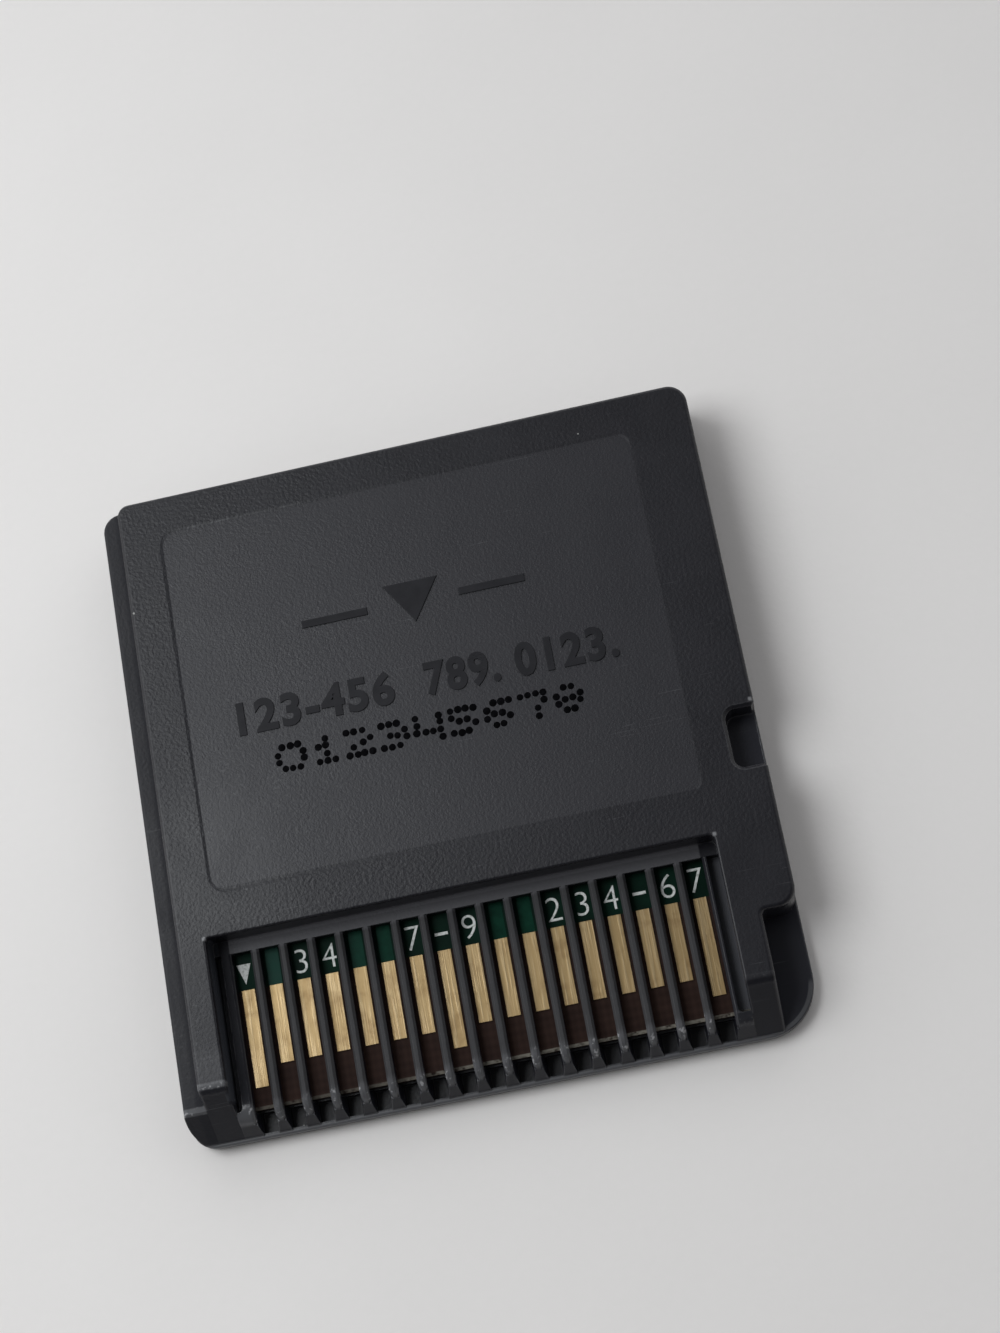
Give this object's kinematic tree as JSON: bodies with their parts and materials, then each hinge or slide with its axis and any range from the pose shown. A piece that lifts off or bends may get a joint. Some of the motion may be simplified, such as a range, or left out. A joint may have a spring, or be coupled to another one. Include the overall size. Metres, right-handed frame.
{
  "type": "game cartridge",
  "caption": "Flat game card: two moulded half shells round a circuit board, with a ribbed contact window, guide ledge, keyed step and latch notch.",
  "frame": {"origin": "middle of the label face's outline, on the surface that the card lies on", "axes": "+Y to the thumb edge with the contact end at -Y, +X to the side with the latch notch, +Z out of the back face with the contacts"},
  "size_m": [0.033, 0.035, 0.0038],
  "materials": {
    "case_plastic": "charcoal moulding with a fine spark-eroded grain",
    "board_laminate": "green solder mask over brown laminate",
    "contact_gold": "gold plate, satin with wipe marks",
    "chip_plastic": "matt black mould compound",
    "lead_metal": "tinned",
    "passive_body": "fired ceramic with tinned ends"
  },
  "bodies": {
    "root": {"back_shell": "case_plastic", "capacitor_1": "passive_body", "capacitor_2": "passive_body", "capacitor_3": "passive_body", "circuit_board": "board_laminate", "contact_pad_01": "contact_gold", "contact_pad_02": "contact_gold", "contact_pad_03": "contact_gold", "contact_pad_04": "contact_gold", "contact_pad_05": "contact_gold", "contact_pad_06": "contact_gold", "contact_pad_07": "contact_gold", "contact_pad_08": "contact_gold", "contact_pad_09": "contact_gold", "contact_pad_10": "contact_gold", "contact_pad_11": "contact_gold", "contact_pad_12": "contact_gold", "contact_pad_13": "contact_gold", "contact_pad_14": "contact_gold", "contact_pad_15": "contact_gold", "contact_pad_16": "contact_gold", "contact_pad_17": "contact_gold", "front_shell": "case_plastic", "memory_chip_body": "chip_plastic", "memory_chip_leads": "lead_metal", "resistor_1": "passive_body", "resistor_2": "passive_body", "save_chip_body": "chip_plastic", "save_chip_leads": "lead_metal"}
  },
  "joints": []
}
